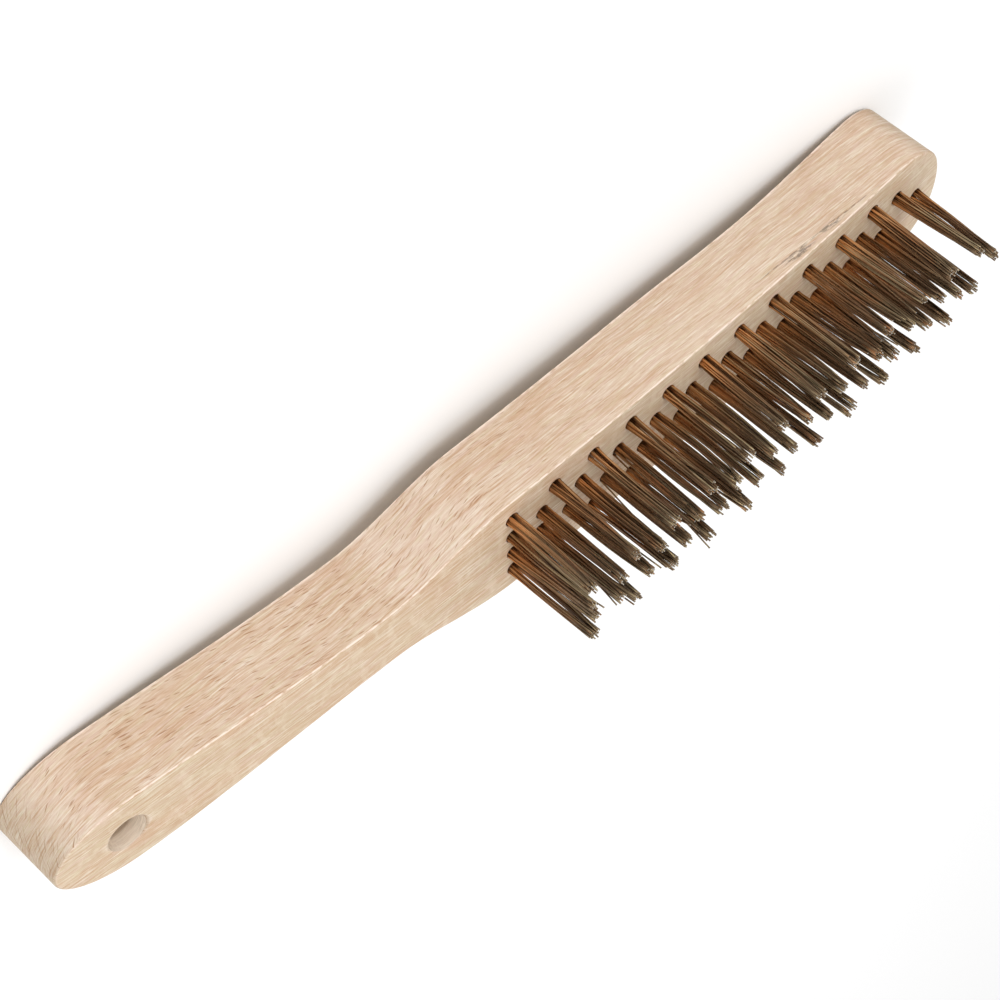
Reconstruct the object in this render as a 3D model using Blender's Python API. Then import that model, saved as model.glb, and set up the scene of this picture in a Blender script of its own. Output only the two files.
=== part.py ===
"""Hand wire brush: an arched beech block with staple-set tufts of steel wire.

Frame: +X runs along the handle, away from the nose; +Z points out of the wired face; the
brush lies on its back, so the two ends of the arched back touch z = 0 and the origin is
under the middle of the block. Sizes are in metres.
"""
import math

import bmesh
import bpy
from mathutils import Matrix, Vector

# ---- wooden block: overall sizes -------------------------------------------------------
LENGTH = 0.290            # nose to handle end
THICKNESS = 0.021         # back to wired face, the same all along the handle
ARCH_RISE = 0.0056        # how far the middle of the back stands above its two ends

# ---- wooden block: outline seen from the wired face ------------------------------------
HEAD_WIDTH = 0.0333
NECK_WIDTH = 0.0190
GRIP_WIDTH = 0.0252       # at the swelling near the handle end
NOSE_ROUND = 0.0170       # length of the rounded nose
NOSE_POWER = 2.2          # its shape: 2 is half an ellipse, more is squarer
SHOULDER_LENGTH = 0.038   # from the full head width down to the neck
NECK_LENGTH = 0.004       # straight stretch between shoulder and grip
END_ROUND = 0.0226        # length of the half-ellipse that ends the handle
EDGE_EASE = 0.0012        # rounding of the long edges
BACK_HOLLOW = 0.0011      # shallow hollow in the back of the head
HOLLOW_CENTRE = 0.057     # its middle, from the nose end
HOLLOW_LENGTH = 0.090
END_FLAT = 0.45           # the flat tip of each end, as a share of the width just behind it

# ---- hanging hole ----------------------------------------------------------------------
HANG_DIAMETER = 0.0104
HANG_FROM_END = 0.0193    # centre of the hole, from the handle end

# ---- tuft and its hole -----------------------------------------------------------------
HOLE_DIAMETER = 0.0040
HOLE_DEPTH = 0.0120
TUFT_LENGTH = 0.0270      # wires standing out of the wood
TIP_SPREAD = 1.32         # width of a leg at its tip, as a multiple of its width in the hole
TIP_LEAN = 0.0007         # how far a tuft's tips wander off its axis
MIDDLE_LEAN = 0.3         # share of that lean reached half way up
TIP_RAGGED = 0.0006       # unevenness of the wire ends
ANCHOR_THICKNESS = 0.0006
ANCHOR_HEIGHT = 0.0018
ANCHOR_BITE = 0.0006      # how far each end of the anchor enters the wall of the hole
FIT_GAP = 0.0003          # between wood and metal
WELD = 0.00005            # how far the anchor is sunk into the wires that it pins

# ---- tuft field ------------------------------------------------------------------------
ROW_PITCH = 1.64 * HOLE_DIAMETER    # across the face; keeps the spread tips apart
NOSE_SPREAD = 1.55 * HOLE_DIAMETER  # from the centre line to the nose's two outer tufts
COLUMN_PITCH = 0.0128     # along a row
RUN_TUFTS = 10            # tufts in each row's evenly spaced run
START_GAP = 0.0139        # from the starting column to a run that isn't shifted
NOSE_LEAD = 1.47          # from such a run's last tuft to the foremost one, in column pitches
FILLER_GAP = 0.0092       # row 3 has one more tuft, this far before its run
SHOULDER_MARGIN = 0.0002  # from the starting column to the end of the full head width
NOSE_MARGIN = 0.0095      # from the foremost tuft to the nose end
NOSE_STEP = 0.0085        # from the foremost tuft back to those two
ROW_SHIFTS = (0.0, -1.0, 1.0, 0.0)  # shift of each row's run, in thirds of a column pitch

# ---- resolution ------------------------------------------------------------------------
HOLE_SIDES = 12
HANG_SIDES = 32
LEG_SIDES = 8
BEND_STEPS = 3
VARIANTS = 6              # differently leaning tufts
STATION_GAP = 0.0165      # longest facet along the block
NOSE_STEPS = 8
ROUND_STEPS = 7
SHOULDER_STEPS = 9
FIRST_TURN = 10.0         # degrees round the nose where its first facet starts
LAST_TURN = 70.0          # degrees round the handle end where its last facet stops
OVERCUT = 0.002           # how far a cutter reaches past the surface it opens
EPS = 1e-6


# ---- scene helpers ---------------------------------------------------------------------
def clear_scene():
    for old in list(bpy.data.objects):
        bpy.data.objects.remove(old, do_unlink=True)


def principled(name, colour, roughness, metallic):
    material = bpy.data.materials.new(name)
    material.use_nodes = True
    shader = material.node_tree.nodes["Principled BSDF"]
    shader.inputs["Base Color"].default_value = (*colour, 1.0)
    shader.inputs["Roughness"].default_value = roughness
    shader.inputs["Metallic"].default_value = metallic
    material.diffuse_color = (*colour, 1.0)
    return material


def add_object(name, mesh, material=None):
    node = bpy.data.objects.new(name, mesh)
    bpy.context.scene.collection.objects.link(node)
    if material is not None and not mesh.materials:
        mesh.materials.append(material)
    return node


def bm_to_mesh(bm, name, smooth_angle=30.0):
    bmesh.ops.recalc_face_normals(bm, faces=bm.faces)
    mesh = bpy.data.meshes.new(name)
    bm.to_mesh(mesh)
    bm.free()
    mesh.shade_smooth()
    mesh.set_sharp_from_angle(angle=math.radians(smooth_angle))
    return mesh


def hide_as_tool(node):
    node.hide_render = True
    node.display_type = "WIRE"


def loft(bm, rings):
    """Skin a list of equal rings of points into a tube, and return the rows of vertices."""
    rows = [[bm.verts.new(point) for point in ring] for ring in rings]
    for low, high in zip(rows, rows[1:]):
        count = len(low)
        for i in range(count):
            j = (i + 1) % count
            bm.faces.new((low[i], low[j], high[j], high[i]))
    return rows


# ---- block: where its surfaces are -----------------------------------------------------
NOSE_X = -LENGTH / 2
END_X = LENGTH / 2
TOUCH_X = END_X - EDGE_EASE  # where the eased ends of the back touch the ground
ARCH_RADIUS = (TOUCH_X ** 2 + ARCH_RISE ** 2) / (2 * ARCH_RISE)


def smooth_step(t):
    t = min(1.0, max(0.0, t))
    return t * t * (3 - 2 * t)


def arch_height(x):
    """Height of the arc that both faces of the block follow; zero where the ends touch."""
    return math.sqrt(ARCH_RADIUS ** 2 - x ** 2) - (ARCH_RADIUS - ARCH_RISE)


def back_height(x):
    """Height of the back: the arc, less the shallow hollow behind the nose."""
    t = (x - NOSE_X - HOLLOW_CENTRE) / (HOLLOW_LENGTH / 2)
    hollow = BACK_HOLLOW * 0.5 * (1 + math.cos(math.pi * t)) if abs(t) < 1 else 0.0
    return arch_height(x) + hollow


def face_height(x):
    """Height of the wired face."""
    return arch_height(x) + THICKNESS


# The starting column of tufts stands at the shoulder, so the head is as long as its field.
FIELD_LENGTH = START_GAP + (RUN_TUFTS - 1 + NOSE_LEAD) * COLUMN_PITCH
COLUMN_X = NOSE_X + NOSE_MARGIN + FIELD_LENGTH
SHOULDER_X = COLUMN_X + SHOULDER_MARGIN
NECK_X = SHOULDER_X + SHOULDER_LENGTH
GRIP_X = NECK_X + NECK_LENGTH
ROUND_X = END_X - END_ROUND


def half_width(x):
    """Half of the block's width at x, for every x between the two end faces."""
    head = HEAD_WIDTH / 2
    neck = NECK_WIDTH / 2
    grip = GRIP_WIDTH / 2
    if x <= SHOULDER_X:
        return head
    if x <= NECK_X:
        return head + (neck - head) * smooth_step((x - SHOULDER_X) / SHOULDER_LENGTH)
    if x <= GRIP_X:
        return neck
    if x <= ROUND_X:
        return neck + (grip - neck) * smooth_step((x - GRIP_X) / (ROUND_X - GRIP_X))
    t = min(1.0, (x - ROUND_X) / END_ROUND)
    return grip * math.sqrt(1 - t * t)


def even_stations(start, stop, longest):
    """Places from start up to stop, which is left out, no further apart than longest."""
    count = max(1, math.ceil((stop - start) / longest - EPS))
    return [start + (stop - start) * i / count for i in range(count)]


def block_outline():
    """One side of the outline as (x, half width), from the nose to the handle end."""
    side = []
    for i in range(NOSE_STEPS + 1):
        angle = math.radians(FIRST_TURN + (90 - FIRST_TURN) * i / NOSE_STEPS)
        forward = NOSE_ROUND * math.cos(angle) ** (2 / NOSE_POWER)
        half = HEAD_WIDTH / 2 * math.sin(angle) ** (2 / NOSE_POWER)
        side.append((NOSE_X + NOSE_ROUND - forward, half))
    side.insert(0, (NOSE_X, side[0][1] * END_FLAT))
    stations = even_stations(NOSE_X + NOSE_ROUND, SHOULDER_X, STATION_GAP)[1:]
    stations += even_stations(SHOULDER_X, NECK_X, SHOULDER_LENGTH / SHOULDER_STEPS)
    stations += even_stations(NECK_X, GRIP_X, NECK_LENGTH)
    stations += even_stations(GRIP_X, ROUND_X, STATION_GAP / 2)
    last = math.radians(LAST_TURN)
    stations += [ROUND_X + END_ROUND * math.sin(last * i / ROUND_STEPS)
                 for i in range(ROUND_STEPS + 1)]
    side += [(x, half_width(x)) for x in stations]
    side.append((END_X, half_width(stations[-1]) * END_FLAT))
    return side


# ---- block -----------------------------------------------------------------------------
def inset_outline(side, inset):
    """The outline moved inwards along its own normals, as (x, half width) points."""
    (first_x, first_half), (last_x, last_half) = side[0], side[-1]
    ends = [(first_x, -first_half)] + side + [(last_x, -last_half)]
    moved = []
    for before, (x, half), after in zip(ends, side, ends[2:]):
        along = Vector((after[0] - before[0], after[1] - before[1])).normalized()
        moved.append((x + along.y * inset, half - along.x * inset))
    return moved


def make_block(material):
    """The outline drawn out through the thickness, its edges eased, on the arc of the back."""
    side = block_outline()
    layers = []
    for surface, sign in ((back_height, 1), (face_height, -1)):
        band = []
        for degrees in (0, 45, 90):
            angle = math.radians(degrees)
            drop = EDGE_EASE * (1 - math.cos(angle)) * sign
            half_side = inset_outline(side, EDGE_EASE * (1 - math.sin(angle)))
            right = [Vector((x, half, surface(x) + drop)) for x, half in half_side]
            left = [Vector((p.x, -p.y, p.z)) for p in reversed(right)]
            band.append(right + left)
        layers += band if sign > 0 else reversed(band)
    bm = bmesh.new()
    rows = loft(bm, layers)
    for row in (rows[0], rows[-1]):
        for i in range(len(side) - 1):
            bm.faces.new((row[i], row[i + 1], row[-2 - i], row[-1 - i]))
    return add_object("beech_block", bm_to_mesh(bm, "beech_block"), material)


def cut(node, tool, name):
    hide_as_tool(tool)
    step = node.modifiers.new(name, "BOOLEAN")
    step.operation = "DIFFERENCE"
    step.solver = "EXACT"
    step.object = tool


# ---- tuft layout -----------------------------------------------------------------------
def tuft_places():
    """Name, x and y of every tuft: four rows from the near side, then the nose arc."""
    places = []
    run_x = COLUMN_X - START_GAP
    for row, shift in enumerate(ROW_SHIFTS, start=1):
        y = (row - (len(ROW_SHIFTS) + 1) / 2) * ROW_PITCH
        first = run_x - shift * COLUMN_PITCH / 3
        spots = [COLUMN_X]
        if shift > 0:
            spots.append(first + FILLER_GAP)
        spots += [first - i * COLUMN_PITCH for i in range(RUN_TUFTS)]
        places += [(f"tuft_row{row}_{i:02d}", x, y) for i, x in enumerate(spots, start=1)]
    front = NOSE_X + NOSE_MARGIN
    places.append(("tuft_nose_near", front + NOSE_STEP, -NOSE_SPREAD))
    places.append(("tuft_nose_tip", front, 0.0))
    places.append(("tuft_nose_far", front + NOSE_STEP, NOSE_SPREAD))
    return places


def stand_on_face(x, y):
    """Matrix that stands an upright shape, made at the origin, on the wired face. All the
    holes are upright, because the block lies on its back when it is drilled."""
    return Matrix.Translation(Vector((x, y, face_height(x))))


# ---- holes -----------------------------------------------------------------------------
def add_prism(bm, outline, low, high, matrix):
    """A closed prism over an outline of (x, y) points, counter-clockwise from above."""
    rings = [[matrix @ Vector((x, y, z)) for x, y in outline] for z in (low, high)]
    rows = loft(bm, rings)
    bm.faces.new(reversed(rows[0]))
    bm.faces.new(rows[1])


def circle(radius, sides):
    turn = 2 * math.pi / sides
    return [(radius * math.cos(turn * (i + 0.5)), radius * math.sin(turn * (i + 0.5)))
            for i in range(sides)]


def hole_tools(places):
    """Cutters for all the blind holes, and for the slots at their feet that seat the anchors."""
    seat_x = ANCHOR_THICKNESS / 2 + FIT_GAP
    seat_y = HOLE_DIAMETER / 2 + ANCHOR_BITE + FIT_GAP
    seat = [(-seat_x, -seat_y), (seat_x, -seat_y), (seat_x, seat_y), (-seat_x, seat_y)]
    low, high = anchor_span()
    round_part = bmesh.new()
    seat_part = bmesh.new()
    for _, x, y in places:
        matrix = stand_on_face(x, y)
        add_prism(round_part, circle(HOLE_DIAMETER / 2, HOLE_SIDES), -HOLE_DEPTH, OVERCUT,
                  matrix)
        add_prism(seat_part, seat, low - FIT_GAP, high + FIT_GAP, matrix)
    holes = add_object("hole_tool", bm_to_mesh(round_part, "hole_tool"))
    seats = add_object("seat_tool", bm_to_mesh(seat_part, "seat_tool"))
    return holes, seats


def hanging_tool():
    """An upright cutter through the handle end."""
    bm = bmesh.new()
    matrix = stand_on_face(END_X - HANG_FROM_END, 0.0)
    add_prism(bm, circle(HANG_DIAMETER / 2, HANG_SIDES), -THICKNESS - OVERCUT, OVERCUT, matrix)
    return add_object("hanging_tool", bm_to_mesh(bm, "hanging_tool"))


# ---- tuft ------------------------------------------------------------------------------
def anchor_span():
    """Bottom and top of the anchor: it lies in the fold of the wires, near the hole's foot."""
    radius = HOLE_DIAMETER / 2 - FIT_GAP
    low = -HOLE_DEPTH + FIT_GAP + radius - ANCHOR_THICKNESS / 2
    return low, low + ANCHOR_HEIGHT


def leg_section():
    """Half of the hole as (outward, across) points: a D whose flat lies on the anchor."""
    radius = HOLE_DIAMETER / 2 - FIT_GAP
    flat = ANCHOR_THICKNESS / 2 - WELD
    widest = math.acos(flat / radius)
    arc = LEG_SIDES - 2
    points = []
    for i in range(arc + 1):
        angle = -widest + 2 * widest * i / arc
        points.append((radius * math.cos(angle), radius * math.sin(angle)))
    points.append((flat, 0.0))
    return points


def leg_ring(side, height, spread, lean, ragged=0.0, phase=0.0):
    """The leg's section at a height above the wood, on the side -1 (nose) or +1 (handle)."""
    ring = []
    for i, (out, across) in enumerate(leg_section()):
        rough = ragged * math.sin(2.3 * i + phase)
        x = side * (out * spread) + lean[0]
        ring.append(Vector((x, across * spread + lean[1], height + rough)))
    return ring


def bend_ring(angle, centre):
    """The same section turned about the anchor, from the handle side down to the nose side."""
    return [Vector((out * math.cos(angle), across, centre - out * math.sin(angle)))
            for out, across in leg_section()]


def tuft_mesh(variant, material):
    """Wires folded into a U over the anchor, as one closed body with the anchor in it."""
    heading = variant * 2 * math.pi / VARIANTS
    lean = Vector((math.cos(heading), math.sin(heading))) * TIP_LEAN
    still = Vector((0.0, 0.0))
    centre = anchor_span()[0] + ANCHOR_THICKNESS / 2
    legs = {}
    for side in (1, -1):
        legs[side] = [
            leg_ring(side, TUFT_LENGTH, TIP_SPREAD, lean, TIP_RAGGED, heading + side),
            leg_ring(side, TUFT_LENGTH / 2, (1 + TIP_SPREAD) / 2, lean * MIDDLE_LEAN),
            leg_ring(side, 0.0, 1.0, still),
        ]
    rings = legs[1] + [bend_ring(math.pi * i / BEND_STEPS, centre)
                       for i in range(BEND_STEPS + 1)]
    rings += list(reversed(legs[-1]))
    bm = bmesh.new()
    rows = loft(bm, rings)
    for row in (rows[0], rows[-1]):
        middle = sum((vert.co for vert in row), Vector()) / len(row)
        tip = bm.verts.new(middle + Vector((0.0, 0.0, TIP_RAGGED)))
        for i, vert in enumerate(row):
            bm.faces.new((vert, row[(i + 1) % len(row)], tip))
    wires = add_object("wires_tool", bm_to_mesh(bm, "wires_tool"))

    low, high = anchor_span()
    half_x = ANCHOR_THICKNESS / 2
    half_y = HOLE_DIAMETER / 2 + ANCHOR_BITE
    bm = bmesh.new()
    bar = [(-half_x, -half_y), (half_x, -half_y), (half_x, half_y), (-half_x, half_y)]
    add_prism(bm, bar, low, high, Matrix.Identity(4))
    anchor = add_object("anchor_tool", bm_to_mesh(bm, "anchor_tool"))

    union = wires.modifiers.new("anchor", "BOOLEAN")
    union.operation = "UNION"
    union.solver = "EXACT"
    union.object = anchor
    evaluated = wires.evaluated_get(bpy.context.evaluated_depsgraph_get())
    mesh = bpy.data.meshes.new_from_object(evaluated)
    mesh.name = f"tuft_{variant + 1}"
    mesh.materials.clear()
    mesh.materials.append(material)
    bpy.data.objects.remove(wires, do_unlink=True)
    bpy.data.objects.remove(anchor, do_unlink=True)
    return mesh


def make_tufts(places, material):
    meshes = [tuft_mesh(variant, material) for variant in range(VARIANTS)]
    for i, (name, x, y) in enumerate(places):
        tuft = add_object(name, meshes[(5 * i + i // VARIANTS) % VARIANTS])
        tuft.matrix_world = stand_on_face(x, y)


# ---- brush -----------------------------------------------------------------------------
clear_scene()
beech = principled("beech", (0.70, 0.50, 0.34), 0.62, 0.0)
steel_wire = principled("steel_wire", (0.20, 0.13, 0.08), 0.42, 0.85)

tuft_spots = tuft_places()
wood = make_block(beech)
hole_tool, seat_tool = hole_tools(tuft_spots)
cut(wood, hole_tool, "blind_holes")
cut(wood, seat_tool, "anchor_seats")
cut(wood, hanging_tool(), "hanging_hole")
make_tufts(tuft_spots, steel_wire)
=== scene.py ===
"""A hand wire brush: an arched beech block with tufts of brown steel wire set in its head.

The studio comes first, then the wooden block, then the tufts that are driven into it.
Metres; +X runs to the handle end, +Z out of the wired face, and the brush lies on its back.
"""

import bpy
import numpy as np
from mathutils import Matrix, Vector


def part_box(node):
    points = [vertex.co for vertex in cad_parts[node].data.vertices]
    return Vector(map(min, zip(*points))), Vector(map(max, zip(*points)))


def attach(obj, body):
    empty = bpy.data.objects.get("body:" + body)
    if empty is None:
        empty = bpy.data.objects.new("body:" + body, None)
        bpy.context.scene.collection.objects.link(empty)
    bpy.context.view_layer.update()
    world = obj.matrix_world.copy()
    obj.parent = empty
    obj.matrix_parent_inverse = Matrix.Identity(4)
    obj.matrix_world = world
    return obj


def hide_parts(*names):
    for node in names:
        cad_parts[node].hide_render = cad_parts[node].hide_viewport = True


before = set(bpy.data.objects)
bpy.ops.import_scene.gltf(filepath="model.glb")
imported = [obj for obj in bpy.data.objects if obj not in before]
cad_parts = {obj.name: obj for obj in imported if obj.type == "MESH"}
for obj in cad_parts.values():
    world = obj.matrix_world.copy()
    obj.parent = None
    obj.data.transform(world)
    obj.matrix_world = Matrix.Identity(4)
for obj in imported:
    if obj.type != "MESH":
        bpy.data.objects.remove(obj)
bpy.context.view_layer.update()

# ---- Studio ------------------------------------------------------------------------------
# A sheet of pale card under the brush, a broad soft lamp above the camera's side, a broader and
# weaker one beyond the handle end, and an even white surround. None of it is part of the brush.

CAMERA_PLACE = Vector((0.2546, -0.5301, 0.2904))
CAMERA_AIM = Vector((0.0058, 0.0003, 0.0153))
IMAGE_UP = Vector((-0.577, -0.573, -0.582))     # the brush is held nose up, wires to the right
LENS = 98.25              # millimetres, for a sensor 36 mm wide
LAMP_AIM = Vector((0.0, 0.0, 0.02))
CARD_HALF_SIDE = 1.5
CARD_DROP = 0.0002        # of the card's face, under the brush
SURROUND_STRENGTH = 0.90


def look_at(place, aim, up):
    """World matrix of a camera or lamp at a place that faces the aim, its top towards up."""
    back = (place - aim).normalized()
    right = up.cross(back).normalized()
    axes = Matrix((right, back.cross(right), back)).transposed()
    return Matrix.Translation(place) @ axes.to_4x4()


def add_camera():
    """The camera, with its lens and its place."""
    data = bpy.data.cameras.new("camera")
    data.sensor_width = 36.0
    data.lens = LENS
    data.clip_start = 0.01
    camera = bpy.data.objects.new("camera", data)
    bpy.context.scene.collection.objects.link(camera)
    camera.matrix_world = look_at(CAMERA_PLACE, CAMERA_AIM, IMAGE_UP)
    bpy.context.scene.camera = camera


def add_soft_lamp(name, place, width, watts):
    """A round lamp that faces the brush."""
    data = bpy.data.lights.new(name, "AREA")
    data.shape = "DISK"
    data.size = width
    data.energy = watts
    lamp = bpy.data.objects.new(name, data)
    bpy.context.scene.collection.objects.link(lamp)
    lamp.matrix_world = look_at(Vector(place), LAMP_AIM, Vector((0.0, 0.0, 1.0)))


def add_card():
    """A flat square of card whose face is just under the brush."""
    corners = np.array([(-1, -1, 0), (1, -1, 0), (1, 1, 0), (-1, 1, 0)]) * CARD_HALF_SIDE
    mesh = bpy.data.meshes.new("card_floor")
    mesh.from_pydata((corners - (0, 0, CARD_DROP)).tolist(), [], [(0, 1, 2, 3)])
    card = bpy.data.objects.new("card_floor", mesh)
    bpy.context.scene.collection.objects.link(card)
    paper = bpy.data.materials.new("pale_card")
    paper.use_nodes = True
    shader = paper.node_tree.nodes["Principled BSDF"]
    shader.inputs["Base Color"].default_value = (0.97, 0.97, 0.97, 1.0)
    shader.inputs["Roughness"].default_value = 0.9
    mesh.materials.append(paper)


def light_surround():
    """An even white world on all sides."""
    world = bpy.data.worlds.new("white_surround")
    world.use_nodes = True
    back = world.node_tree.nodes["Background"]
    back.inputs["Color"].default_value = (1.0, 1.0, 1.0, 1.0)
    back.inputs["Strength"].default_value = SURROUND_STRENGTH
    bpy.context.scene.world = world


add_camera()
add_card()
add_soft_lamp("key_lamp", place=(0.15, -0.80, 0.95), width=0.5, watts=4.0)
add_soft_lamp("fill_lamp", place=(0.7, 0.3, 0.8), width=0.9, watts=2.0)
light_surround()
bpy.context.scene.view_settings.view_transform = "Standard"

# ---- Beech block -------------------------------------------------------------------------
# Head, shoulder and grip are one piece of bare beech, sawn to an arc along its length,
# moulded to its outline, sanded so that the long edges are eased, and drilled: a hanging hole
# through the handle end and a blind hole for each tuft.

low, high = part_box("beech_block")
NOSE_X, END_X = float(low[0]), float(high[0])
HEAD_HALF = float(high[1])
THICKNESS = 0.021
ARCH_RISE = float(high[2]) - THICKNESS
EDGE_EASE = 0.0006
BACK_EDGE = 0.5           # how much of that easing the edges of the back have
NECK_HALF = 0.0095
GRIP_HALF = 0.0126
NOSE_ROUND = 0.0170       # length of the rounded nose
NOSE_POWER = 2.2          # between an ellipse, 2, and a square corner
SHOULDER = (0.0122, 0.0502)          # where it leaves the head and where it is down to the neck
GRIP_START = 0.0542       # where the neck begins to widen into the grip
END_ROUND = 0.0226        # length of the half-ellipse that ends the handle
HOLLOW = (-0.088, 0.045, 0.0011)     # the back's shallow hollow: middle, half length, depth
HANG_X = END_X - 0.0193
HANG_RADIUS = 0.0052
TUFT_HOLE_RADIUS = 0.0020
TUFT_HOLE_DEPTH = 0.0120
TOUCH_INSET = 0.0012      # from either end to where the arc comes down to the ground
TOUCH_X = END_X - TOUCH_INSET
ARCH_RADIUS = (TOUCH_X ** 2 + ARCH_RISE ** 2) / (2 * ARCH_RISE)


def arch_height(x):
    """Height of a circular arc over the ground: sqrt(R^2 - x^2) less a constant, so that it is
    the rise in the middle and zero where the eased ends touch the ground."""
    return np.sqrt(ARCH_RADIUS ** 2 - x ** 2) - (ARCH_RADIUS - ARCH_RISE)


def face_height(x):
    """Height of the wired face: the arc raised by the thickness."""
    return arch_height(x) + THICKNESS


def back_height(x):
    """The arc plus a raised cosine, one wave long, for the hollow behind the nose; flat where
    it would pass through the ground."""
    middle, reach, depth = HOLLOW
    t = np.clip((x - middle) / reach, -1, 1)
    return np.maximum(arch_height(x) + depth * 0.5 * (1 + np.cos(np.pi * t)), 0)


def smooth_step(t):
    """3t^2 - 2t^3, held at 0 before the step and at 1 after it."""
    t = np.clip(t, 0, 1)
    return t * t * (3 - 2 * t)


def block_outline(round_steps=30, run_steps=224):
    """x and half width: a superellipse nose, straight head, two smooth steps, an ellipse end."""
    turn = np.linspace(0, np.pi / 2, round_steps)
    nose_x = NOSE_X + NOSE_ROUND * (1 - np.cos(turn) ** (2 / NOSE_POWER))
    nose_half = HEAD_HALF * np.sin(turn) ** (2 / NOSE_POWER)
    round_x = END_X - END_ROUND
    x = np.linspace(nose_x[-1], round_x, run_steps)[1:-1]
    into_neck = smooth_step((x - SHOULDER[0]) / (SHOULDER[1] - SHOULDER[0]))
    into_grip = smooth_step((x - GRIP_START) / (round_x - GRIP_START))
    half = HEAD_HALF + (NECK_HALF - HEAD_HALF) * into_neck + (GRIP_HALF - NECK_HALF) * into_grip
    end_x = round_x + END_ROUND * np.sin(turn)
    end_half = GRIP_HALF * np.cos(turn)
    end_half[-1] = 0.0
    return (np.concatenate((nose_x, x, end_x)), np.concatenate((nose_half, half, end_half)))


def rim_waviness(x):
    """A sum of two slow sines: how unevenly the edge was sanded along the block."""
    return 1 + 0.08 * np.sin(310 * x) + 0.04 * np.sin(790 * x + 1.0)


def block_mesh(name, across=20, risers=14, ease_steps=6):
    """The outline's loop rises in layers, moved in along its normal round each eased edge;
    the back and the wired face are grids from one side of the loop to the other."""
    x, half = block_outline()
    count = len(x)
    loop_x = np.concatenate((x, x[-2:0:-1]))
    loop_y = np.concatenate((half, -half[-2:0:-1]))
    along = np.stack((np.roll(loop_x, -1) - np.roll(loop_x, 1),
                      np.roll(loop_y, -1) - np.roll(loop_y, 1)), axis=1)
    along /= np.linalg.norm(along, axis=1)[:, None]
    ease = EDGE_EASE * rim_waviness(loop_x + 0.4 * loop_y)
    back_ease = ease * BACK_EDGE
    angle = np.linspace(0, np.pi / 2, ease_steps)
    inset = (1 - np.sin(angle))[:, None]
    rise = (1 - np.cos(angle))[:, None]
    lower = np.linspace(0, 1, risers)[1:-1, None]
    straight = np.zeros((risers - 2, len(ease)))
    moves = np.concatenate((inset * back_ease, straight, inset[::-1] * ease))
    ring_x = loop_x + along[:, 1] * moves
    ring_y = loop_y - along[:, 0] * moves
    back, face = back_height(ring_x), face_height(ring_x)
    steps = len(angle)
    ring_z = np.empty_like(ring_x)
    ring_z[:steps] = back[:steps] + rise * back_ease
    ring_z[-steps:] = face[-steps:] - rise[::-1] * ease
    mid = slice(steps, -steps)
    ring_z[mid] = (back + back_ease)[mid] + (face - back - back_ease - ease)[mid] * lower
    rings = np.stack((ring_x, ring_y, ring_z), axis=2)
    layers, around = ring_x.shape
    index = np.arange(layers * around).reshape(layers, around)
    here, beside = index[:-1], np.roll(index, -1, axis=1)[:-1]
    above, corner = index[1:], np.roll(index, -1, axis=1)[1:]
    walls = np.stack((here, above, corner, beside), axis=2).reshape(-1, 4)

    points, quads, corners = [rings.reshape(-1, 3)], [walls], []
    used = layers * around
    for layer, surface in ((0, back_height), (-1, face_height)):
        right = index[layer, 1:count - 1]
        left = index[layer, :count - 1:-1]
        side_r, side_l = rings[layer, 1:count - 1], rings[layer, :count - 1:-1]
        share = np.linspace(0, 1, across + 1)[None, 1:-1, None]
        inner = side_r[:, None] * (1 - share) + side_l[:, None] * share
        inner[..., 2] = surface(inner[..., 0])
        numbers = used + np.arange(inner.shape[0] * inner.shape[1]).reshape(inner.shape[:2])
        used += numbers.size
        points.append(inner.reshape(-1, 3))
        grid = np.concatenate((right[:, None], numbers, left[:, None]), axis=1)
        cells = np.stack((grid[:-1, :-1], grid[1:, :-1], grid[1:, 1:], grid[:-1, 1:]), axis=2)
        first = np.stack((np.full(across, index[layer, 0]), grid[0, :-1], grid[0, 1:]), axis=1)
        last = np.stack((np.full(across, index[layer, count - 1]), grid[-1, 1:],
                         grid[-1, :-1]), axis=1)
        turn = 1 if layer == 0 else -1
        quads.append(cells.reshape(-1, 4)[:, ::turn])
        corners += [first[:, ::turn], last[:, ::turn]]
    mesh = bpy.data.meshes.new(name)
    faces = np.concatenate(quads).tolist() + np.concatenate(corners).tolist()
    mesh.from_pydata(np.concatenate(points).tolist(), [], faces)
    return mesh


def tuft_mouth(node):
    """Where a tuft's upright axis leaves the wired face: over the middle of the part of its
    CAD solid that is in the wood."""
    flat = np.empty(len(node.data.vertices) * 3)
    node.data.vertices.foreach_get("co", flat)
    points = flat.reshape(-1, 3)
    sunk = points[points[:, 2] < face_height(points[:, 0]) - 0.002]
    middle = (sunk.min(axis=0) + sunk.max(axis=0)) / 2
    return np.array((middle[0], middle[1], face_height(middle[0])))


DRILL_OVER = 0.0015       # how far every drill stands above the wired face
DRILL_PAST = 0.0020       # how far the hanging hole's drill reaches past the back
TORN_RING = (0.15, 0.4, 1.0)         # share of the tearing at a drill's foot, chamfer and top


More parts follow.
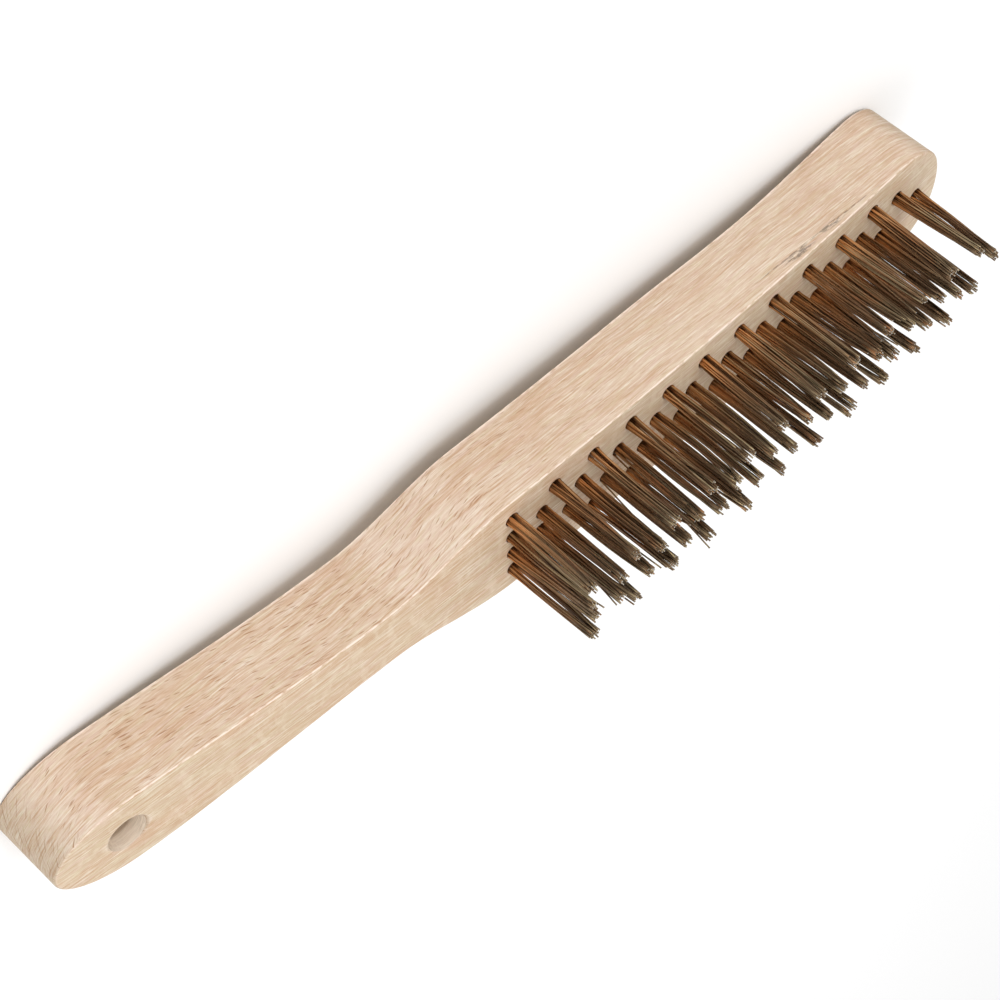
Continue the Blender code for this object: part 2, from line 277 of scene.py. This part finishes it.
def drill_mesh(name, mouths, radius, depth, chamfer, ragged, sides):
    """One closed upright drill per mouth, of three rings: a cylinder, and above it a cone at 45
    degrees that chamfers the rim. Each radius has a sum of sines over the angle added, with
    random phases, that tears the rim."""
    rng = np.random.default_rng(11)
    heights = np.array((-depth, -chamfer, DRILL_OVER))
    widths = radius + np.array((0.0, 0.0, DRILL_OVER + chamfer))
    angle = np.linspace(0, 2 * np.pi, sides, endpoint=False)
    phase = rng.uniform(0, 2 * np.pi, (len(mouths), 3, 1))
    order = np.array((2, 3, 5))[:, None]
    weight = np.array((0.5, 0.4, 0.3))[:, None]
    tear = (np.sin(order * angle + phase) * weight).sum(axis=1) * ragged
    growth = np.array(TORN_RING)[None, :, None]
    size = widths[None, :, None] + tear[:, None, :] * growth
    level = mouths[:, 2, None, None] + heights[None, :, None]
    rings = np.stack((mouths[:, 0, None, None] + size * np.cos(angle),
                      mouths[:, 1, None, None] + size * np.sin(angle),
                      np.broadcast_to(level, size.shape)), axis=-1)
    ends = mouths[:, None] + np.outer(heights[::2], (0, 0, 1))
    count, layers = len(mouths), len(heights)
    index = np.arange(count * layers * sides).reshape(count, layers, sides)
    beside = np.roll(index, -1, axis=2)
    walls = np.stack((index[:, :-1], beside[:, :-1], beside[:, 1:], index[:, 1:]), axis=-1)
    tips = index.size + np.arange(count * 2).reshape(count, 2, 1)
    spread = np.broadcast_to(tips, (count, 2, sides))
    foot = np.stack((spread[:, 0], beside[:, 0], index[:, 0]), axis=-1)
    top = np.stack((spread[:, 1], index[:, -1], beside[:, -1]), axis=-1)
    mesh = bpy.data.meshes.new(name)
    points = np.concatenate((rings.reshape(-1, 3), ends.reshape(-1, 3)))
    faces = walls.reshape(-1, 4).tolist()
    faces += foot.reshape(-1, 3).tolist() + top.reshape(-1, 3).tolist()
    mesh.from_pydata(points.tolist(), [], faces)
    return mesh


def drilled(block, drill_meshes):
    """The block's mesh after each drill has been taken out of it."""
    drills = []
    for mesh in drill_meshes:
        drill = bpy.data.objects.new(mesh.name, mesh)
        bpy.context.scene.collection.objects.link(drill)
        step = block.modifiers.new(mesh.name, "BOOLEAN")
        step.operation = "DIFFERENCE"
        step.solver = "EXACT"
        step.object = drill
        drills.append(drill)
    seen = block.evaluated_get(bpy.context.evaluated_depsgraph_get())
    mesh = bpy.data.meshes.new_from_object(seen)
    block.modifiers.clear()
    for drill in drills:
        bpy.data.objects.remove(drill, do_unlink=True)
    return mesh


SAWN_EDGE_LOSS = 0.8      # how much of an edge's mark is lost where the grain is cut across
BORE_MARGIN = 1.05        # the hole's wall lies within this many radii of its axis
STEEP = 0.5               # a wall's normal is less upright than this


def mark_wood(mesh):
    """Attributes for the finish: "edge" is a bell curve of the distance to the nearest long
    edge, "broad" is 1 on the wired face and the back and 0 on the sides, "sawn" is 1 where the
    grain is cut across, at the nose and the handle end, and "bore" is 1 on the faces of the
    hanging hole's wall."""
    flat = np.empty(len(mesh.vertices) * 3)
    mesh.vertices.foreach_get("co", flat)
    x, y, z = flat.reshape(-1, 3).T
    turned = np.empty(len(mesh.vertices) * 3)
    mesh.vertex_normals.foreach_get("vector", turned)
    sawn, _, upright = np.abs(turned.reshape(-1, 3)).T
    line_x, line_half = block_outline()
    order = np.argsort(line_x)
    inward = np.interp(x, line_x[order], line_half[order]) - np.abs(y)
    depth = np.minimum(face_height(x) - z, z - back_height(x))
    reach = EDGE_EASE * 0.5
    edge = np.exp(-(np.clip(inward, 0, 1) ** 2 + np.clip(depth, 0, 1) ** 2) / (2 * reach ** 2))
    edge = edge * (1 - SAWN_EDGE_LOSS * sawn)
    centres, facing = np.empty((2, len(mesh.polygons) * 3))
    mesh.polygons.foreach_get("center", centres)
    mesh.polygons.foreach_get("normal", facing)
    bore = np.hypot(centres[0::3] - HANG_X, centres[1::3]) < HANG_RADIUS * BORE_MARGIN
    bore &= np.abs(facing[2::3]) < STEEP
    marks = (("edge", edge, "POINT"), ("broad", upright, "POINT"), ("sawn", sawn, "POINT"),
             ("bore", bore, "FACE"))
    for name, values, domain in marks:
        layer = mesh.attributes.new(name, "FLOAT", domain)
        layer.data.foreach_set("value", values.astype(np.float32))


def add_node(tree, kind, inputs=(), **settings):
    """A shader node with its settings, its inputs given by name or number."""
    node = tree.nodes.new(kind)
    for key, value in settings.items():
        setattr(node, key, value)
    for key, value in dict(inputs).items():
        if isinstance(value, bpy.types.NodeSocket):
            tree.links.new(value, node.inputs[key])
        else:
            node.inputs[key].default_value = value
    return node


def stretched(tree, place, wavelengths, centre=(0.0, 0.0, 0.0), turn=(0.0, 0.0, 0.0)):
    """Object coordinates divided by a wavelength along each axis."""
    mapping = add_node(tree, "ShaderNodeMapping", {"Vector": place, "Location": centre,
                                                   "Rotation": turn, "Scale": wavelengths},
                       vector_type="TEXTURE")
    return mapping.outputs["Vector"]


def noise(tree, vector, detail=2.0, roughness=0.5):
    """Fractal noise whose largest features are about one unit of the vector long."""
    node = add_node(tree, "ShaderNodeTexNoise",
                    {"Vector": vector, "Scale": 1.0, "Detail": detail, "Roughness": roughness})
    return node.outputs["Fac"]


def remap(tree, value, start, stop, low_value=0.0, high_value=1.0, kind="SMOOTHSTEP"):
    """The low value up to the start, the high value from the stop on, and a ramp between,
    which is smooth at both ends unless another kind is asked for."""
    node = add_node(tree, "ShaderNodeMapRange",
                    {"Value": value, "From Min": start, "From Max": stop,
                     "To Min": low_value, "To Max": high_value}, interpolation_type=kind)
    return node.outputs["Result"]


def combine(tree, operation, first, second):
    """One arithmetic operation on two values, either of which may be a node's output."""
    node = add_node(tree, "ShaderNodeMath", {0: first, 1: second}, operation=operation)
    return node.outputs["Value"]


def blend_colour(tree, share, first, second, blend="MIX"):
    """The first colour, with the share of the second mixed in or multiplied on."""
    node = add_node(tree, "ShaderNodeMix", data_type="RGBA", blend_type=blend)
    for number, value in ((0, share), (6, first), (7, second)):
        if isinstance(value, bpy.types.NodeSocket):
            tree.links.new(value, node.inputs[number])
        elif number:
            node.inputs[number].default_value = (*value, 1.0)
        else:
            node.inputs[number].default_value = value
    return node.outputs[2]


def blend_value(tree, share, first, second):
    """The first value, with the share of the second mixed in."""
    node = add_node(tree, "ShaderNodeMix", {0: share, 2: first, 3: second}, data_type="FLOAT")
    return node.outputs[0]


def attribute(tree, name):
    """A value that the mesh carries under this name."""
    node = add_node(tree, "ShaderNodeAttribute", attribute_name=name)
    return node.outputs["Fac"]


def wandering(tree, place, reach):
    """The place moved by a slow noise, so that straight features bend a little."""
    slow = add_node(tree, "ShaderNodeTexNoise", {"Vector": place, "Scale": 45.0, "Detail": 1.0})
    centred = add_node(tree, "ShaderNodeVectorMath",
                       {0: slow.outputs["Color"], 1: (0.5, 0.5, 0.5)}, operation="SUBTRACT")
    sway = add_node(tree, "ShaderNodeVectorMath",
                    {0: centred.outputs["Vector"], 1: reach}, operation="MULTIPLY")
    moved = add_node(tree, "ShaderNodeVectorMath",
                     {0: place, 1: sway.outputs["Vector"]}, operation="ADD")
    return moved.outputs["Vector"]


def ray_flecks(tree, place, cell, size, share):
    """Spindles round the points of a Voronoi lattice stretched by the cell, each with its own
    strength. They stand aslant across the block, so its sides cut them into short dashes."""
    slanted = stretched(tree, place, cell, turn=RAY_SLANT)
    lattice = add_node(tree, "ShaderNodeTexVoronoi", {"Vector": slanted, "Scale": 1.0},
                       feature="F1")
    spindle = remap(tree, lattice.outputs["Distance"], size, size * 0.4)
    own = add_node(tree, "ShaderNodeSeparateColor", {"Color": lattice.outputs["Color"]})
    strength = remap(tree, own.outputs["Red"], 1 - share, 1.0, 0.0, 1.0, "LINEAR")
    return combine(tree, "MULTIPLY", spindle, strength)


# Colours of the wood, from the ground tints of its sides and faces to the marks on them;
# some of them are painted highlights and painted shade.
SIDE_DEEP, SIDE_LIGHT = (0.600, 0.430, 0.300), (0.685, 0.530, 0.395)
FACE_DEEP, FACE_LIGHT = (0.555, 0.410, 0.260), (0.620, 0.485, 0.330)
# Paler tint below: a painted highlight on the faces that turn towards the ends.
PAINTED_TURN_HIGHLIGHT = (0.80, 0.665, 0.570)
PINK_TINT, YELLOW_TINT = (0.66, 0.47, 0.38), (0.64, 0.54, 0.35)
LATE_WOOD = (0.60, 0.38, 0.24)
DARK_FIBRE, PALE_FIBRE = (0.50, 0.30, 0.175), (0.81, 0.72, 0.60)
DARK_THREAD, PALE_THREAD = (0.50, 0.29, 0.17), (0.86, 0.78, 0.66)
FLECK, SILK = (0.37, 0.19, 0.09), (0.77, 0.66, 0.51)
SAWN_SHADE = (0.72, 0.72, 0.67)
# Paler edge tint below: partly fibres worn pale, partly a painted highlight along the eased edges.
WORN_AND_HIGHLIT_EDGE = (0.95, 0.79, 0.68)
# First colour below: painted light on the hanging hole's wall.
# Second colour below: painted shade deeper down the hanging hole's wall.
PAINTED_BORE_LIGHT, PAINTED_BORE_SHADE = (1.0, 0.87, 0.72), (0.30, 0.19, 0.10)
BRUISED = (0.16, 0.12, 0.085)
BORE_SHADE_DEPTHS = (0.0036, 0.0048)      # depths in the hanging hole between which painted shade darkens its wall

# Turn of the wood's rays about each axis, and the middle and reach of each bruise near the
# wired edge of one side.
RAY_SLANT = (1.01, 0.13, 0.0)
BRUISES = (((-0.1020, -0.01665, 0.0219), (0.0058, 0.003, 0.0011)),
           ((-0.0893, -0.01665, 0.0227), (0.0070, 0.003, 0.0012)),
           ((-0.0960, -0.01665, 0.0216), (0.0300, 0.003, 0.00035)))


def beech_finish():
    """Bare sanded beech: pale pinkish tan, fine fibres, brown ray flecks that slant across the
    sides and grow stronger towards the handle, a painted highlight where the outline turns,
    darker cut ends, a yellower wired face with pale silky patches, edges paled partly by wear
    and partly by a painted highlight, one edge bruised, and a hanging hole whose wall has
    painted light at its mouth and painted shade further down."""
    material = bpy.data.materials.new("bare_beech")
    material.use_nodes = True
    tree = material.node_tree
    shader = tree.nodes["Principled BSDF"]
    place = add_node(tree, "ShaderNodeTexCoord").outputs["Object"]
    parts = add_node(tree, "ShaderNodeSeparateXYZ", {"Vector": place})
    x_place, z_place = parts.outputs["X"], parts.outputs["Z"]
    grain = wandering(tree, place, (0.0, 0.0, 0.0020))
    broad = remap(tree, attribute(tree, "broad"), 0.35, 0.9)
    edge = attribute(tree, "edge")
    sawn = remap(tree, attribute(tree, "sawn"), 0.15, 0.85)
    bore = attribute(tree, "bore")
    towards_handle = remap(tree, x_place, -0.05, 0.04, 0.30, 1.0)

    warm = noise(tree, stretched(tree, place, (0.040, 0.02, 0.007)), 3.0)
    rings = noise(tree, stretched(tree, grain, (0.13, 0.009, 0.0021)), 4.0, 0.6)
    fibre = blend_value(
        tree, broad, noise(tree, stretched(tree, grain, (0.0110, 0.0060, 0.00046)), 4.0, 0.7),
        noise(tree, stretched(tree, grain, (0.0110, 0.00050, 0.0020)), 4.0, 0.7))
    thread = blend_value(
        tree, broad, noise(tree, stretched(tree, grain, (0.0050, 0.0030, 0.00022)), 2.0, 0.6),
        noise(tree, stretched(tree, grain, (0.0050, 0.00026, 0.0010)), 2.0, 0.6))
    hue = noise(tree, stretched(tree, grain, (0.0075, 0.0011, 0.0010)), 2.0, 0.6)

    side = blend_colour(tree, remap(tree, warm, 0.3, 0.7), SIDE_DEEP, SIDE_LIGHT)
    face = blend_colour(tree, remap(tree, warm, 0.3, 0.7), FACE_DEEP, FACE_LIGHT)
    colour = blend_colour(tree, broad, side, face)
    # Painted highlight: paler where the surface turns towards the ends, more so towards the
    # handle.
    turned = combine(tree, "MULTIPLY", remap(tree, attribute(tree, "sawn"), 0.06, 0.24, 0.0, 0.4),
                     towards_handle)
    colour = blend_colour(tree, turned, colour, PAINTED_TURN_HIGHLIGHT)
    colour = blend_colour(tree, remap(tree, hue, 0.5, 0.72, 0.0, 0.6), colour, PINK_TINT)
    colour = blend_colour(tree, remap(tree, hue, 0.5, 0.3, 0.0, 0.5), colour, YELLOW_TINT)
    colour = blend_colour(tree, remap(tree, rings, 0.45, 0.68, 0.0, 0.50), colour, LATE_WOOD)
    streaks = combine(tree, "MULTIPLY", remap(tree, fibre, 0.50, 0.66),
                      remap(tree, towards_handle, 0.3, 1.0, 0.55, 0.85))
    colour = blend_colour(tree, streaks, colour, DARK_FIBRE)
    colour = blend_colour(tree, remap(tree, fibre, 0.48, 0.34, 0.0, 0.62), colour, PALE_FIBRE)
    colour = blend_colour(tree, remap(tree, thread, 0.54, 0.68, 0.0, 0.40), colour, DARK_THREAD)
    colour = blend_colour(tree, remap(tree, thread, 0.45, 0.30, 0.0, 0.40), colour, PALE_THREAD)

    flecks = ray_flecks(tree, grain, (0.0075, 0.015, 0.00038), 0.29, 0.9)
    fine_flecks = ray_flecks(tree, grain, (0.0042, 0.009, 0.00028), 0.30, 0.9)
    flecks = combine(tree, "MAXIMUM", flecks, fine_flecks)
    flecks = combine(tree, "MULTIPLY", flecks, towards_handle)
    on_sides = combine(tree, "MULTIPLY", flecks, remap(tree, broad, 0.0, 1.0, 1.0, 0.10))
    colour = blend_colour(tree, on_sides, colour, FLECK)
    silk = noise(tree, stretched(tree, place, (0.0030, 0.0060, 0.0030)), 3.0, 0.6)
    silk = remap(tree, silk, 0.50, 0.68, 0.0, 0.30)
    colour = blend_colour(tree, combine(tree, "MULTIPLY", silk, broad), colour, SILK)

    colour = blend_colour(tree, sawn, colour, SAWN_SHADE, blend="MULTIPLY")
    frayed = remap(tree, noise(tree, stretched(tree, place, (0.0022, 0.0006, 0.0006)), 3.0),
                   0.32, 0.56)
    # Paler along the eased edges, ragged: partly worn fibres, partly a painted highlight.
    edge_wear_and_highlight = combine(tree, "MULTIPLY", remap(tree, edge, 0.34, 0.66, 0.0, 0.85), frayed)
    colour = blend_colour(tree, edge_wear_and_highlight, colour, WORN_AND_HIGHLIT_EDGE)
    # Painted light on the hanging hole's wall, mottled by the threads.
    painted_bore_light = combine(tree, "MULTIPLY", bore, remap(tree, thread, 0.35, 0.65, 0.50, 0.95))
    colour = blend_colour(tree, painted_bore_light, colour, PAINTED_BORE_LIGHT)
    # Painted shade: the hanging hole's wall darkens with depth.
    shade_starts_at, shade_full_at = (float(face_height(HANG_X)) - depth for depth in BORE_SHADE_DEPTHS)
    painted_bore_shade = combine(tree, "MULTIPLY", bore, remap(tree, z_place, shade_starts_at, shade_full_at))
    colour = blend_colour(tree, combine(tree, "MULTIPLY", painted_bore_shade, 0.65), colour, PAINTED_BORE_SHADE)

    bruises = 0.0
    for middle, reach in BRUISES:
        spot = add_node(tree, "ShaderNodeTexGradient",
                        {"Vector": stretched(tree, place, reach, middle)},
                        gradient_type="SPHERICAL")
        bruises = combine(tree, "MAXIMUM", bruises, spot.outputs["Fac"])
    torn = remap(tree, noise(tree, stretched(tree, place, (0.0028, 0.0028, 0.00045)), 3.0, 0.7),
                 0.44, 0.56)
    scar = combine(tree, "MULTIPLY", remap(tree, bruises, 0.05, 0.6), torn)
    colour = blend_colour(tree, combine(tree, "MULTIPLY", scar, 0.75), colour, BRUISED)

    tree.links.new(colour, shader.inputs["Base Color"])
    tree.links.new(remap(tree, fibre, 0.3, 0.7, 0.55, 0.72), shader.inputs["Roughness"])
    relief = combine(tree, "SUBTRACT", 1.0, combine(tree, "MULTIPLY", fibre, 0.7))
    relief = combine(tree, "SUBTRACT", relief, combine(tree, "MULTIPLY", thread, 0.5))
    relief = combine(tree, "SUBTRACT", relief, combine(tree, "MULTIPLY", on_sides, 0.5))
    relief = combine(tree, "SUBTRACT", relief, scar)
    bump = add_node(tree, "ShaderNodeBump", {"Strength": 0.5, "Distance": 0.00012,
                                             "Height": relief})
    tree.links.new(bump.outputs["Normal"], shader.inputs["Normal"])
    return material


tuft_nodes = [name for name in sorted(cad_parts) if name.startswith("tuft_")]
mouths = np.array([tuft_mouth(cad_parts[name]) for name in tuft_nodes])

beech_block = bpy.data.objects.new("beech_block_fine", block_mesh("beech_block_fine"))
bpy.context.scene.collection.objects.link(beech_block)
hanging_place = np.array([(HANG_X, 0.0, face_height(HANG_X))])
beech_block.data = drilled(beech_block, [
    drill_mesh("tuft_drills", mouths, TUFT_HOLE_RADIUS, TUFT_HOLE_DEPTH,
               chamfer=0.000072, ragged=0.00011, sides=28),
    drill_mesh("hanging_drill", hanging_place, HANG_RADIUS, THICKNESS + DRILL_PAST,
               chamfer=0.00015, ragged=0.00009, sides=64)])
beech_block.data.shade_smooth()
beech_block.data.set_sharp_from_angle(angle=np.radians(38))
mark_wood(beech_block.data)
beech_block.data.materials.clear()
beech_block.data.materials.append(beech_finish())
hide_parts("beech_block")
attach(beech_block, "root")

# ---- Wire tufts --------------------------------------------------------------------------
# Each tuft is a bunch of hard-drawn steel wires, folded in half over a small flat anchor that
# is driven into the hole and bites into its wall. The two legs of the fold stand side by side
# along the block, lean together and end ragged, with bright ends where they were cropped.

WIRE_RADIUS = 0.000215
WIRES = 15                # folded, so twice as many ends
TUFT_LENGTH = 0.0270
LEG_STARTS = (0.00044, 0.00092)      # from the hole's axis to a leg's first wires: handle, nose
LEG_REACH = 0.00176       # and to the outermost ones
WIRE_PITCH = WIRE_RADIUS * 2.06      # from a wire's middle to the next one's, in the hole
ROW_STEP = WIRE_PITCH * 0.87         # from one row of wires to the next
FOOT_SCATTER = 0.00002    # this and every other scatter or lean is a standard deviation
TIP_SCATTER = 0.00016
TUFT_LEAN = 0.00035       # how far the tips of a whole tuft are off its axis
LEG_LEAN = (0.00022, 0.00036)        # and those of one leg off that, along the block and across
LEG_FAN = ((0.60, 0.85), (0.85, 1.10))    # least and most width of a leg's tips over its feet's
FAN_POWER = 1.25
LEG_BOW, WIRE_BOW = 0.00018, 0.00022
STRAY_SHARE = 0.04        # of the wires, that are bent out of the tuft
STRAY_REACH = 0.0015
SHORT_SHARE = 0.08        # of the wires, that are broken short
SHORTENED = (0.001, 0.004)           # by how much, from least to most
MEAN_LOSS = 0.0001        # how much the mean wire is shorter than the tuft
LENGTH_SCATTER = 0.00055
LONGEST = TUFT_LENGTH + 0.0006
FOLD_DEPTH = 0.0103       # of the anchor's underside, below the wired face
ANCHOR = (0.00028, 0.0026, 0.0018)   # half thickness, half length, height


def leg_feet(rng, side, start):
    """Where a leg's wires stand in the hole, in order across it: places of a hexagonal lattice
    that lie inside a circle and beyond a line at the start."""
    row, column = np.meshgrid(np.arange(12), np.arange(-8, 9), indexing="ij")
    x = start + row * ROW_STEP
    y = (column + 0.5 * (row % 2)) * WIRE_PITCH
    inside = np.hypot(x, y) < LEG_REACH
    places = np.stack((side * x[inside], y[inside]), axis=1)
    chosen = places[rng.permutation(len(places))[:WIRES]]
    return chosen[np.argsort(chosen[:, 1])] + rng.normal(0, FOOT_SCATTER, (WIRES, 2))


def wire_paths(rng):
    """Paths of one tuft's wires, tip to tip, as (wire, step, xyz) on +Z: two legs that draw
    together above their feet in proportion to height to the fan power, with a bow that is a
    half sine, joined under the anchor by half circles, each as wide as its own two feet."""
    climb = np.linspace(1, 0, 8)[None, :, None]
    tuft_lean = rng.normal(0, TUFT_LEAN, 2)
    legs, feet = [], []
    for side, gap in zip((1, -1), LEG_STARTS):
        start = leg_feet(rng, side, gap)
        leg_lean = tuft_lean + rng.normal(0, LEG_LEAN, 2)
        fan = rng.uniform(*LEG_FAN)
        end = start * fan + leg_lean + rng.normal(0, TIP_SCATTER, start.shape)
        stray = rng.random(WIRES) < STRAY_SHARE
        end = end + stray[:, None] * rng.normal(0, STRAY_REACH, start.shape)
        length = TUFT_LENGTH + rng.normal(-MEAN_LOSS, LENGTH_SCATTER, WIRES)
        length = length - (rng.random(WIRES) < SHORT_SHARE) * rng.uniform(*SHORTENED, WIRES)
        length = np.minimum(length, LONGEST)
        bow = rng.normal(0, WIRE_BOW, start.shape) + rng.normal(0, LEG_BOW, 2)
        across = (start[:, None] + (end - start)[:, None] * climb ** FAN_POWER
                  + bow[:, None] * np.sin(np.pi * climb))
        height = length[:, None, None] * climb
        sunk = np.broadcast_to(start[:, None], (WIRES, 1, 2))
        foot_height = np.full((WIRES, 1, 1), -FOLD_DEPTH)
        leg = np.concatenate((np.concatenate((across, height), axis=2),
                              np.concatenate((sunk, foot_height), axis=2)), axis=1)
        legs.append(leg)
        feet.append(start)
    turn = np.radians((45, 90, 135))[None, :, None]
    middle, half = (feet[0] + feet[1])[:, None] / 2, (feet[0] - feet[1])[:, None] / 2
    fold = np.concatenate((middle + half * np.cos(turn),
                           -FOLD_DEPTH - half[..., :1] * np.sin(turn)), axis=2)
    return np.concatenate((legs[0], fold, legs[1][:, ::-1]), axis=1)


def sweep_wires(paths, sides=5):
    """A round section carried along each path; its first spoke stays as near +Y as it can."""
    along = np.gradient(paths, axis=1)
    along /= np.linalg.norm(along, axis=2, keepdims=True)
    first = np.array((0.0, 1.0, 0.0)) - along * along[..., 1:2]
    first /= np.linalg.norm(first, axis=2, keepdims=True)
    second = np.cross(along, first)
    angle = np.linspace(0, 2 * np.pi, sides, endpoint=False)[:, None]
    spokes = first[:, :, None] * np.cos(angle) + second[:, :, None] * np.sin(angle)
    rings = paths[:, :, None] + spokes * WIRE_RADIUS
    count, steps = paths.shape[:2]
    index = np.arange(count * steps * sides).reshape(count, steps, sides)
    beside = np.roll(index, -1, axis=2)
    walls = np.stack((index[:, :-1], beside[:, :-1], beside[:, 1:], index[:, 1:]), axis=-1)
    ends = np.concatenate((index[:, 0, ::-1], index[:, -1]))
    return rings.reshape(-1, 3), walls.reshape(-1, 4), ends


def anchor_bar():
    """The flat anchor that lies in the fold: eight corners and six faces."""
    thick, long, tall = ANCHOR
    side = np.array([(-1, -1), (1, -1), (1, 1), (-1, 1)]) * (thick, long)
    foot = np.concatenate((side, np.full((4, 1), -FOLD_DEPTH)), axis=1)
    points = np.concatenate((foot, foot + (0, 0, tall)))
    faces = [(3, 2, 1, 0), (4, 5, 6, 7), (0, 1, 5, 4), (1, 2, 6, 5), (2, 3, 7, 6), (3, 0, 4, 7)]
    return points, np.array(faces)


def tuft_mesh(name, mouth, seed):
    """A tuft's wires and anchor, with the cut ends as a second material. "run" is how far a
    point is up the standing wire, from 0 at the wood to 1 at the tip, and "tone" is one random
    number for each wire."""
    rng = np.random.default_rng(seed)
    paths = wire_paths(rng)
    wires, walls, ends = sweep_wires(paths)
    bar, bar_faces = anchor_bar()
    points = np.concatenate((wires, bar))
    mesh = bpy.data.meshes.new(name)
    faces = walls.tolist() + ends.tolist() + (bar_faces + len(wires)).tolist()
    mesh.from_pydata((mouth + points).tolist(), [], faces)
    slots = np.zeros(len(faces), dtype=np.int32)
    slots[len(walls):len(walls) + len(ends)] = 1
    mesh.polygons.foreach_set("material_index", slots)
    smooth = slots == 0
    smooth[-len(bar_faces):] = False
    mesh.polygons.foreach_set("use_smooth", smooth)
    run = np.clip(points[:, 2] / TUFT_LENGTH, 0, 1)
    tone = np.repeat(rng.random(WIRES), len(wires) // WIRES)
    tone = np.concatenate((tone, np.full(len(bar), 0.5)))
    for key, values in (("run", run), ("tone", tone)):
        layer = mesh.attributes.new(key, "FLOAT", "POINT")
        layer.data.foreach_set("value", values.astype(np.float32))
    return mesh


# Colours of the wire along its standing length, then what varies it, then its bare cut.
WIRE_FOOT, WIRE_MIDDLE, WIRE_TIP = (0.70, 0.34, 0.135), (0.26, 0.135, 0.062), (0.145, 0.102, 0.060)
# First colour below: a lighter olive tone for some wires at random, partly a painted highlight.
LIGHT_WIRE_AND_HIGHLIGHT, DARK_WIRE = (0.36, 0.285, 0.165), (0.085, 0.040, 0.018)
BROWN_FILM, RUST = (0.12, 0.070, 0.038), (0.40, 0.16, 0.060)
SPECK = (0.50, 0.28, 0.12)
CUT_DULL, CUT_BRIGHT = (0.42, 0.37, 0.30), (0.85, 0.80, 0.70)


def wire_finish():
    """Steel wire under a thin brown film: orange at the foot, darker and greyer towards the
    tip, with patches of rust, each wire a little different, some lighter and olive, which is
    partly a painted highlight."""
    material = bpy.data.materials.new("brown_wire")
    material.use_nodes = True
    tree = material.node_tree
    shader = tree.nodes["Principled BSDF"]
    place = add_node(tree, "ShaderNodeTexCoord").outputs["Object"]
    run = attribute(tree, "run")
    tone = attribute(tree, "tone")
    film = noise(tree, stretched(tree, place, (0.0016, 0.0016, 0.006)), 3.0, 0.6)
    specks = noise(tree, stretched(tree, place, (0.0004, 0.0004, 0.0007)), 2.0)

    colour = blend_colour(tree, remap(tree, run, 0.0, 0.45), WIRE_FOOT, WIRE_MIDDLE)
    colour = blend_colour(tree, remap(tree, run, 0.40, 1.0), colour, WIRE_TIP)
    # Some wires lighter and olive: a random tone, partly a painted highlight.
    colour = blend_colour(tree, remap(tree, tone, 0.68, 1.0, 0.0, 0.65), colour, LIGHT_WIRE_AND_HIGHLIGHT)
    colour = blend_colour(tree, remap(tree, tone, 0.50, 0.0, 0.0, 0.75), colour, DARK_WIRE)
    colour = blend_colour(tree, remap(tree, film, 0.50, 0.75, 0.0, 0.6), colour, BROWN_FILM)
    rust = noise(tree, stretched(tree, place, (0.0030, 0.0030, 0.012)), 2.0)
    colour = blend_colour(tree, remap(tree, rust, 0.54, 0.72, 0.0, 0.45), colour, RUST)
    colour = blend_colour(tree, remap(tree, specks, 0.6, 0.75, 0.0, 0.5), colour, SPECK)
    tree.links.new(colour, shader.inputs["Base Color"])
    tree.links.new(remap(tree, film, 0.3, 0.7, 0.24, 0.42), shader.inputs["Roughness"])
    shader.inputs["Metallic"].default_value = 0.9
    bump = add_node(tree, "ShaderNodeBump", {"Strength": 0.2, "Distance": 0.00003,
                                             "Height": specks})
    tree.links.new(bump.outputs["Normal"], shader.inputs["Normal"])
    return material


def cropped_end_finish():
    """The bare cut across a wire: bright steel with a faint grey mottle."""
    material = bpy.data.materials.new("cropped_ends")
    material.use_nodes = True
    tree = material.node_tree
    shader = tree.nodes["Principled BSDF"]
    place = add_node(tree, "ShaderNodeTexCoord").outputs["Object"]
    mottle = noise(tree, stretched(tree, place, (0.0005, 0.0005, 0.0005)), 1.0)
    colour = blend_colour(tree, remap(tree, mottle, 0.35, 0.65), CUT_DULL, CUT_BRIGHT)
    tree.links.new(colour, shader.inputs["Base Color"])
    shader.inputs["Metallic"].default_value = 0.9
    shader.inputs["Roughness"].default_value = 0.35
    return material


wire_steel = wire_finish()
cropped_steel = cropped_end_finish()
for seed, (node_name, mouth) in enumerate(zip(tuft_nodes, mouths), start=100):
    piece_name = node_name.replace("tuft", "wires")
    tuft = bpy.data.objects.new(piece_name, tuft_mesh(piece_name, mouth, seed))
    bpy.context.scene.collection.objects.link(tuft)
    tuft.data.materials.append(wire_steel)
    tuft.data.materials.append(cropped_steel)
    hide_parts(node_name)
    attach(tuft, "root")
